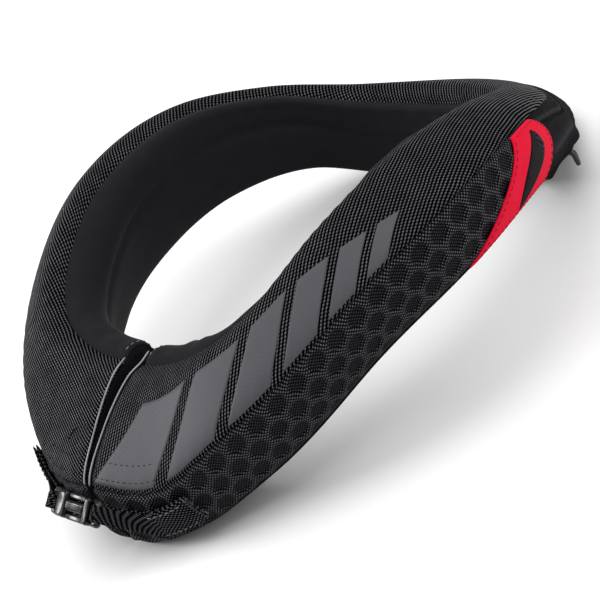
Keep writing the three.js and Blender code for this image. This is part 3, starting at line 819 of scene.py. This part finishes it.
def leaf_place(s, t):
    """The same for the dark leaf, which swells in the middle and comes to a point at both ends."""
    middle = LEAF_SHARES[0] + (LEAF_SHARES[1] - LEAF_SHARES[0]) * s
    swell = LEAF_HALF_WIDTH * math.sin(math.pi * (0.03 + 0.94 * s)) ** 0.8
    return label_place(LEAF_TOP + (LEAF_BOTTOM - LEAF_TOP) * s, middle + swell * (2 * t - 1))


label_leaf = join_parts("label_leaf", [patch_mesh(40, 10, leaf_place, LABEL_STAND + LEAF_STAND,
                                                  LEAF_THICKNESS, 0.25, 0.1)])
finish_piece(label_leaf, leaf_material)

# Buckle: a small side-release buckle, moulded in two halves from glossy black plastic, fastened in front of
# the split. The latch's two arms grip the sides of the housing's neck, and each half has a bar for a tab.
BUCKLE_PLACE = (-1.5, -166.2 + RING_CENTRE_Y, 29.5)
BUCKLE_TILT, BUCKLE_TURN = 50, 3.5
BUCKLE_HALF_LENGTH, BUCKLE_HALF_WIDTH, BUCKLE_HALF_DEPTH = 16.5, 5.25, 2.75
BUCKLE_CORNER = 2.4
SLOT_FROM, SLOT_TO, SLOT_HALF_WIDTH = 11.2, 13.2, 3.8
BAR_HALF_DEPTH = 1.0
JOINT, ARM_REACH = 7.6, -3.4
NECK_HALF_WIDTH, ARM_INSIDE = 2.4, 2.8
EDGE_ROUND, SHARP_ANGLE = 0.45, 40
NECK_SINK, ARM_SINK, CLEARANCE = 0.5, 0.8, 0.4
BAR_CROWN = 1.5


def round_edges(made, wanted, radius):
    """Rounds the edges of a block whose two ends, in mm, the test wanted picks out."""
    for edge in made.data.edges:
        edge.select = wanted(*(made.data.vertices[k].co / MM for k in edge.vertices))
    for part in list(made.data.vertices) + list(made.data.polygons):
        part.select = False
    bpy.ops.object.mode_set(mode="EDIT")
    bpy.ops.mesh.select_mode(type="EDGE")
    bpy.ops.mesh.bevel(offset=radius * MM, segments=5)
    bpy.ops.object.mode_set(mode="OBJECT")


def block(low, high, corner=0.0, crown=0.0):
    """A box between two corners in mm. The edges that run through its depth are rounded by corner, and the
    rim of its front by crown."""
    bpy.ops.object.select_all(action="DESELECT")
    bpy.ops.mesh.primitive_cube_add(size=1)
    made = bpy.context.object
    made.scale = [(b - a) * MM for a, b in zip(low, high)]
    made.location = [(a + b) / 2 * MM for a, b in zip(low, high)]
    bpy.ops.object.transform_apply(location=True, rotation=True, scale=True)
    if corner:
        round_edges(made, lambda a, b: abs(a.y - b.y) > 0.001, corner)
    if crown:
        round_edges(made, lambda a, b: max(a.y, b.y) < low[1] + 0.001, crown)
    return made


def combine(body, tool, operation):
    """Joins a block to a body or cuts it out of it, and removes the block."""
    bpy.ops.object.select_all(action="DESELECT")
    bpy.context.view_layer.objects.active = body
    body.select_set(True)
    step = body.modifiers.new("combine", "BOOLEAN")
    step.operation = operation
    step.solver = "EXACT"
    step.object = tool
    bpy.ops.object.modifier_apply(modifier=step.name)
    bpy.data.objects.remove(tool)


# Acetal plastic, moulded black: glossy, with faint scratches from use, about 1 mm apart, and wide shallow
# sinks left by the mould, which break its reflections up.
plastic_material, tree, shader = new_material("black_acetal", {"Base Color": linear("#060607"),
                                                               "Specular IOR Level": 0.25})
where = add_node(tree, "ShaderNodeTexCoord").outputs["Object"]
scratches = add_node(tree, "ShaderNodeTexNoise", {"Vector": where, "Scale": 0.9 / MM, "Detail": 4.0})
dulled = add_node(tree, "ShaderNodeMapRange", {"Value": scratches.outputs["Fac"], "To Min": 0.14,
                                               "To Max": 0.3})
tree.links.new(dulled.outputs[0], shader.inputs["Roughness"])
sinks = add_node(tree, "ShaderNodeTexNoise", {"Vector": where, "Scale": 0.085 / MM, "Detail": 0.0})
sink_bump = add_node(tree, "ShaderNodeBump", {"Height": sinks.outputs["Fac"], "Strength": 1.0,
                                              "Distance": 2.6 * MM})
tree.links.new(sink_bump.outputs["Normal"], shader.inputs["Normal"])


def place_half(body, name, node):
    """Rounds the edges of one half, sets it in its place and finishes it."""
    bpy.ops.object.select_all(action="DESELECT")
    bpy.context.view_layer.objects.active = body
    body.select_set(True)
    rounding = body.modifiers.new("rounding", "BEVEL")
    rounding.width = EDGE_ROUND * MM
    rounding.segments = 3
    rounding.limit_method = "ANGLE"
    rounding.angle_limit = math.radians(SHARP_ANGLE)
    bpy.ops.object.modifier_apply(modifier=rounding.name)
    bpy.ops.object.shade_smooth_by_angle(angle=math.radians(SHARP_ANGLE))
    turned = Matrix.Rotation(-math.radians(BUCKLE_TURN), 4, "Z")
    tilted = Matrix.Rotation(-math.radians(BUCKLE_TILT), 4, "X")
    body.matrix_world = Matrix.Translation(Vector(BUCKLE_PLACE) * MM) @ turned @ tilted
    bpy.ops.object.transform_apply(location=True, rotation=True, scale=True)
    evening = body.modifiers.new("evening", "WEIGHTED_NORMAL")
    evening.keep_sharp = True
    bpy.ops.object.modifier_apply(modifier=evening.name)
    body.name = name
    finish_piece(body, plastic_material, [node])


end, width, depth = BUCKLE_HALF_LENGTH, BUCKLE_HALF_WIDTH, BUCKLE_HALF_DEPTH
housing = block((-SLOT_FROM - 0.2, -depth, -width), (ARM_REACH - CLEARANCE, depth, width), 1.6, 1.0)
bar = block((-end, -BAR_HALF_DEPTH, -width), (2 - SLOT_FROM, BAR_HALF_DEPTH, width), BUCKLE_CORNER, BAR_CROWN)
combine(housing, bar, "UNION")
slot = block((-SLOT_TO, -depth - 1, -SLOT_HALF_WIDTH), (-SLOT_FROM, depth + 1, SLOT_HALF_WIDTH))
combine(housing, slot, "DIFFERENCE")
neck = block((ARM_REACH - 2, NECK_SINK - depth, -NECK_HALF_WIDTH),
             (JOINT - CLEARANCE, depth - NECK_SINK, NECK_HALF_WIDTH), 1.7, 1.4)
combine(housing, neck, "UNION")
place_half(housing, "buckle_housing_half", "buckle_housing")

latch = block((JOINT, -depth, -width), (SLOT_FROM + 0.2, depth, width), 1.4, 1.1)
bar = block((SLOT_FROM - 2, -BAR_HALF_DEPTH, -width), (end, BAR_HALF_DEPTH, width), BUCKLE_CORNER, BAR_CROWN)
combine(latch, bar, "UNION")
slot = block((SLOT_FROM, -depth - 1, -SLOT_HALF_WIDTH), (SLOT_TO, depth + 1, SLOT_HALF_WIDTH))
combine(latch, slot, "DIFFERENCE")
for low, high in ((ARM_INSIDE, width), (-width, -ARM_INSIDE)):
    arm = block((ARM_REACH, ARM_SINK - depth, low), (JOINT + 2, depth - ARM_SINK, high), 1.0, 0.8)
    combine(latch, arm, "UNION")
groove = block((JOINT - 0.7, -depth - 1, -width - 1), (JOINT + 0.5, 1.8 - depth, width + 1))
combine(latch, groove, "DIFFERENCE")
place_half(latch, "buckle_latch_half", "buckle_latch")

# Tabs: a strip of the woven nylon on each side of the split, folded round a bar of the buckle and sewn down
# on the front of the pad. The cut ends are not hemmed, so their threads fray.
TAB_REACHES = {"left": (9.0, 16.0, 0.0), "right": (12.0, 18.5, 0.25)}
TAB_TOP, TAB_BOTTOM, TAB_SLANT = 7.4, 8.4, 0.5
TAB_HALF_WIDTH, TAB_LAYER = 3.2, 1.1
TAB_OUTER, TAB_INNER = 2.45, 1.15
EYE_RADIUS, EYE_FROM, EYE_TURN = 2.65, 25, 250
BAR_PLACE = 14.85
TAB_ROWS, TAB_COUNT = 18, 96
FRAY_RADIUS, FRAY_COUNT, FRAY_REACH, FRAY_STRAY = 0.13, 34, (0.3, 1.0), 0.4


def tab_paths(side, meet, far, rise):
    """Middle lines of a folded tab in mm, row by row: in on the outer layer, round the bar and back."""
    turn, tilt = math.radians(BUCKLE_TURN), math.radians(BUCKLE_TILT)
    along = side * np.array([math.cos(turn), -math.sin(turn), 0])
    front = np.array([-math.sin(turn), -math.cos(turn), 0])
    upward = np.array([0, 0, 1.0])
    out = front * math.cos(tilt) + upward * math.sin(tilt)
    across = upward * math.cos(tilt) - front * math.sin(tilt)
    rows = []
    for i in range(TAB_ROWS):
        down = i / (TAB_ROWS - 1)
        bar = np.array(BUCKLE_PLACE) + along * BAR_PLACE + across * TAB_HALF_WIDTH * (1 - 2 * down)
        corner = TAB_TOP + (TAB_BOTTOM - TAB_TOP) * down - rise
        angles = np.linspace(meet, far + TAB_SLANT * down, 8)
        ring = angles if side > 0 else 360 - angles
        inner = [pad_points(angle, [corner], TAB_INNER)[0][0] for angle in ring]
        outer = [pad_points(angle, [corner], TAB_OUTER)[0][0] for angle in ring[::-1]]
        eye = []
        for around in np.radians(EYE_FROM + EYE_TURN * np.linspace(0, 1, 14)):
            eye.append(bar + EYE_RADIUS * (along * math.cos(around) + out * math.sin(around)))
        rows.append(smooth_path(outer + eye + inner, TAB_COUNT))
    return np.array(rows)


def tab_mesh(paths):
    """A strip with rounded long edges about the middle lines, with its map, length and width in mm."""
    lengthwise = np.gradient(paths, axis=1)
    crosswise = np.gradient(paths, axis=0)
    normals = np.cross(lengthwise, crosswise)
    normals /= np.linalg.norm(normals, axis=2)[:, :, None]
    from_middle = np.abs(np.linspace(-1, 1, TAB_ROWS))
    half = TAB_LAYER / 2 * np.sqrt(np.clip(1.04 - from_middle**6, 0.04, 1))[:, None, None]
    along, across = run_along(paths, 1), run_along(paths)
    on_sheet = np.stack([along, across - across[-1:] / 2], axis=2).reshape(-1, 2)
    layers = [paths + normals * half, paths - normals * half]
    points = np.concatenate([layer.reshape(-1, 3) for layer in layers])
    part = points, sheet_faces(TAB_ROWS, TAB_COUNT), np.concatenate([on_sheet, on_sheet])
    return part, along[:, -1].max(), across[-1].max()


def join_cords(name, cords):
    """One piece from several cords or threads."""
    points, faces = [], []
    for cord_points, cord_faces in cords:
        faces += [tuple(k + len(points) for k in face) for face in cord_faces]
        points.extend(cord_points)
    return new_piece(name, points, faces)


# Loose nylon thread: the same yarn as the weave, pulled out of it and rubbed grey, with a soft shine.
thread_material, tree, shader = new_material("loose_nylon_thread", {"Roughness": 0.5,
                                                                    "Specular IOR Level": 0.3})
where = add_node(tree, "ShaderNodeTexCoord").outputs["Object"]
uneven = add_node(tree, "ShaderNodeTexNoise", {"Vector": where, "Scale": 0.7 / MM})
thread_tint = add_node(tree, "ShaderNodeMix", {"Factor": uneven.outputs["Fac"], 6: linear("#1c1c1f"),
                                               7: linear("#7c7c82")}, data_type="RGBA")
tree.links.new(thread_tint.outputs[2], shader.inputs["Base Color"])

# Nylon webbing: the same basket weave as on the pad, with duller floats, whose pale grey is painted highlight
# over black holes of painted shade.
tab_material, tree, shader = new_material("nylon_webbing", {"Roughness": 0.5})
weave_look(tree, shader, WEAVE_PITCH, "#020203", "#57575d", 0.1, 0.9, 0.4, 0.3, lean=0.6)

for side, name in ((1, "left"), (-1, "right")):
    paths = tab_paths(side, *TAB_REACHES[name])
    part, length, wide = tab_mesh(paths)
    woven_tab = join_parts("woven_tab_" + name, [part])
    finish_piece(woven_tab, tab_material, ["tab_" + name])
    threads = []
    for layer_end, before in ((paths[:, 0], paths[:, 3]), (paths[:, -1], paths[:, -4])):
        for _ in range(FRAY_COUNT):
            place = rng.uniform(0, TAB_ROWS - 1.001)
            i = int(place)
            root = layer_end[i] + (place - i) * (layer_end[i + 1] - layer_end[i])
            ahead = (layer_end[i] - before[i]) / np.linalg.norm(layer_end[i] - before[i])
            stray = rng.normal(0, FRAY_STRAY, 3)
            reach = rng.uniform(*FRAY_REACH)
            spine = [root - 0.5 * ahead, root + 0.4 * reach * ahead,
                     root + 0.8 * reach * (ahead + 0.5 * stray), root + reach * (ahead + stray)]
            threads.append(cord_mesh(spine, FRAY_RADIUS, sides=5))
    fray = join_cords("frayed_threads_" + name, threads)
    finish_piece(fray, thread_material)

# Tail loop: a short loop of round black cord that hangs from the hem beside the tail, on the wearer's left.
# Both its ends are sewn into the hem.
LOOP_ANGLE, LOOP_SPREAD, LOOP_CORNER = 140, 0.8, 9.25
LOOP_RADIUS, LOOP_SEAT, LOOP_REACH, LOOP_DROP = 1.0, 0.3, 1.6, 5.0
legs = []
for angle in (LOOP_ANGLE - LOOP_SPREAD, LOOP_ANGLE + LOOP_SPREAD):
    legs.append([pad_points(angle, [LOOP_CORNER], lift)[0][0] for lift in (-0.8, LOOP_SEAT, LOOP_REACH)])
loop_tip = (legs[0][2] + legs[1][2]) / 2 - [0, 0, LOOP_DROP]
loop_path = smooth_path(legs[0] + [loop_tip] + legs[1][::-1], 40)

# Braided polyester cord, dyed black: round, with a little shine on its plaits.
braid_material, tree, shader = new_material("braided_black_cord", {"Roughness": 0.45,
                                                                   "Specular IOR Level": 0.4})
where = add_node(tree, "ShaderNodeTexCoord").outputs["Object"]
plait = add_node(tree, "ShaderNodeTexWave", {"Vector": where, "Scale": 0.3 / MM, "Distortion": 1.0},
                 bands_direction="DIAGONAL")
braid_tint = add_node(tree, "ShaderNodeMix", {"Factor": plait.outputs["Fac"], 6: linear("#09090b"),
                                              7: linear("#29292d")}, data_type="RGBA")
tree.links.new(braid_tint.outputs[2], shader.inputs["Base Color"])
hem_loop = join_cords("hem_loop", [cord_mesh(loop_path, LOOP_RADIUS)])
finish_piece(hem_loop, braid_material, ["tail_loop"])

# Stitches: rows of sewing thread that hold the front of the top panel, the ends of the lining, the label and
# the tabs. One thread end is left loose on the far arm.
STITCH_LENGTH, STITCH_GAP, STITCH_RADIUS = 1.9, 0.9, 0.2
LOOSE_RADIUS, LOOSE_STAND = 0.3, 0.2
# Places of the loose end on the top panel: the ring angle and the share of the panel's width.
LOOSE_END = [(358.4, 0.575), (357.0, 0.57), (355.6, 0.575), (354.5, 0.6), (353.8, 0.645), (353.4, 0.7)]


def stitch_row(path, out):
    """Short raised stitches along a path in mm, each sunk into the cloth at both ends."""
    path, out = np.asarray(path), np.asarray(out)
    run = run_along(path)
    made = []
    for start in np.arange(0.4, run[-1] - STITCH_LENGTH, STITCH_LENGTH + STITCH_GAP):
        at = np.linspace(start, start + STITCH_LENGTH, 5)
        spine = np.column_stack([np.interp(at, run, path[:, k]) for k in range(3)])
        up = np.column_stack([np.interp(at, run, out[:, k]) for k in range(3)])
        rise = STITCH_RADIUS * np.array([-0.9, 0.5, 0.8, 0.5, -0.9])
        made.append(cord_mesh(spine + up * rise[:, None], STITCH_RADIUS, sides=6))
    return made


def row_on(places):
    """The path over a list of points with the way out of the cloth."""
    return [p for p, _ in places], [o for _, o in places]


dark_rows, pale_rows, red_rows, tab_rows = [], [], [], []
for share in (0.79, 0.91):
    dark_rows += stitch_row(*row_on([on_top(angle, share) for angle in np.linspace(1.0, 12.5, 24)]))
    dark_rows += stitch_row(*row_on([on_top(angle, share) for angle in np.linspace(347.5, 359.0, 24)]))
for angle in (1.0, 359.0):
    pale_rows += stitch_row(*row_on([on_lining(angle, share) for share in np.linspace(0.45, 0.97, 30)]))
margin = LABEL_MARGIN
label_ring = [(margin, t) for t in np.linspace(0.12, 0.88, 12)]
label_ring += [(s, 1 - margin * 1.4) for s in np.linspace(margin, 1 - margin, 40)]
label_ring += [(1 - margin, t) for t in np.linspace(0.94, 0.03, 40)]
label_ring += [(s, margin) for s in np.linspace(1 - margin, margin, 40)]
label_rows = [label_place(s, t) for s, t in label_ring]
red_rows += stitch_row([p + LABEL_STAND * o for p, o in label_rows], [o for _, o in label_rows])
for side, (meet, far, rise) in ((1, TAB_REACHES["left"]), (-1, TAB_REACHES["right"])):
    for down in (0.12, 0.88):
        corner = TAB_TOP + (TAB_BOTTOM - TAB_TOP) * down - rise
        angles = np.linspace(meet + 0.4, far - 0.5, 16)
        ring = angles if side > 0 else 360 - angles
        row = [pad_points(angle, [corner], TAB_OUTER + TAB_LAYER / 2) for angle in ring]
        tab_rows += stitch_row([p[0] for p, _ in row], [o[0] for _, o in row])
loose_places = [on_top(angle, share) for angle, share in LOOSE_END]
loose_path = smooth_path([p + LOOSE_STAND * o for p, o in loose_places], 40)
dark_rows.append(cord_mesh(loose_path, LOOSE_RADIUS, sides=6))

# Polyester sewing thread in black, two greys and dark red, twisted and waxed: the plies show as close tones.
for name, rows, shaded, lit, slot in (("black_stitches", dark_rows, "#09090b", "#131316", "woven_cloth"),
                                      ("grey_stitches", pale_rows, "#58585e", "#84848a", "stretch_lining"),
                                      ("webbing_stitches", tab_rows, "#4c4c52", "#78787e", "woven_cloth"),
                                      ("red_stitches", red_rows, "#620712", "#920d1e", "label_cloth")):
    sewing_material, tree, shader = new_material("sewing_thread_" + name.split("_")[0],
                                                 {"Roughness": 0.45, "Specular IOR Level": 0.15})
    where = add_node(tree, "ShaderNodeTexCoord").outputs["Object"]
    plies = add_node(tree, "ShaderNodeTexNoise", {"Vector": where, "Scale": 1.6 / MM, "Detail": 1.0})
    ply_tint = add_node(tree, "ShaderNodeMix", {"Factor": plies.outputs["Fac"], 6: linear(shaded),
                                                7: linear(lit)}, data_type="RGBA")
    tree.links.new(ply_tint.outputs[2], shader.inputs["Base Color"])
    finish_piece(join_cords(name, rows), sewing_material)

# Floor, light and camera: a white sweep under soft boxes, seen from the wearer's front left with the camera
# rolled to the side, as the collar was photographed.
CAMERA_AZIMUTH, CAMERA_ELEVATION, CAMERA_ROLL = 55.6, 26.2, -29.0
CAMERA_DISTANCE = 0.8966
CAMERA_TARGET = Vector((0, 0.02337, 0.040))
TARGET_PIXEL = (332.7, 212.0)
FOCAL_PIXELS = 2189.3
IMAGE_SIZE = 600
SENSOR = 36.0

azimuth, elevation, roll = (math.radians(v) for v in (CAMERA_AZIMUTH, CAMERA_ELEVATION, CAMERA_ROLL))
back = Vector((math.sin(azimuth) * math.cos(elevation), -math.cos(azimuth) * math.cos(elevation),
               math.sin(elevation)))
right = Vector((math.cos(azimuth), math.sin(azimuth), 0))
up = back.cross(right)
rolled_right = math.cos(roll) * right + math.sin(roll) * up
rolled_up = -math.sin(roll) * right + math.cos(roll) * up
aside = TARGET_PIXEL[0] - IMAGE_SIZE / 2
above = IMAGE_SIZE / 2 - TARGET_PIXEL[1]
forward = (-back * FOCAL_PIXELS - rolled_right * aside - rolled_up * above).normalized()
camera_right = forward.cross(rolled_up).normalized()
camera_up = camera_right.cross(forward)
camera_data = bpy.data.cameras.new("camera")
camera_data.sensor_width = SENSOR
camera_data.lens = FOCAL_PIXELS / IMAGE_SIZE * SENSOR
camera_data.clip_start = 0.01
camera_data.clip_end = 100
camera = bpy.data.objects.new("camera", camera_data)
bpy.context.scene.collection.objects.link(camera)
turned = Matrix((camera_right, camera_up, -forward)).transposed().to_4x4()
camera.matrix_world = Matrix.Translation(CAMERA_TARGET + back * CAMERA_DISTANCE) @ turned
bpy.context.scene.camera = camera

bpy.ops.object.select_all(action="DESELECT")
bpy.ops.mesh.primitive_plane_add(size=12, location=(0, 0, -0.0002))
floor = bpy.context.object
floor.name = "floor"
bpy.ops.object.transform_apply(location=True, rotation=True, scale=True)
floor_material, tree, shader = new_material("white_paper", {"Roughness": 0.9, "Specular IOR Level": 0.1})
shader.inputs["Base Color"].default_value = linear("#e6e6e6")
floor.data.materials.append(floor_material)
floor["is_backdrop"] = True

# Name, place and width in metres, and power in watts. The key box stands where the buckle's front mirrors it.
LIGHTS = [
    ("top_box", (0.1, -0.1, 2.6), 4.0, 86),
    ("fill_box", (-0.25, -0.45, 0.45), 0.3, 1.2),
    ("key_box", (-1.69, -0.9, 0.79), 0.45, 12),
    ("side_box", (1.4, 1.2, 0.75), 0.8, 12),
]
for name, place, size, power in LIGHTS:
    light_data = bpy.data.lights.new(name, "AREA")
    light_data.shape = "DISK"
    light_data.size = size
    light_data.energy = power
    light = bpy.data.objects.new(name, light_data)
    bpy.context.scene.collection.objects.link(light)
    light.location = place
    light.rotation_mode = "QUATERNION"
    light.rotation_quaternion = (Vector((0, 0, 0.04)) - Vector(place)).to_track_quat("-Z", "Y")

world = bpy.data.worlds.new("studio")
bpy.context.scene.world = world
world.use_nodes = True
world.node_tree.nodes["Background"].inputs["Color"].default_value = (1, 1, 1, 1)
world.node_tree.nodes["Background"].inputs["Strength"].default_value = 0.45
bpy.context.scene.view_settings.view_transform = "Standard"

low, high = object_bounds()
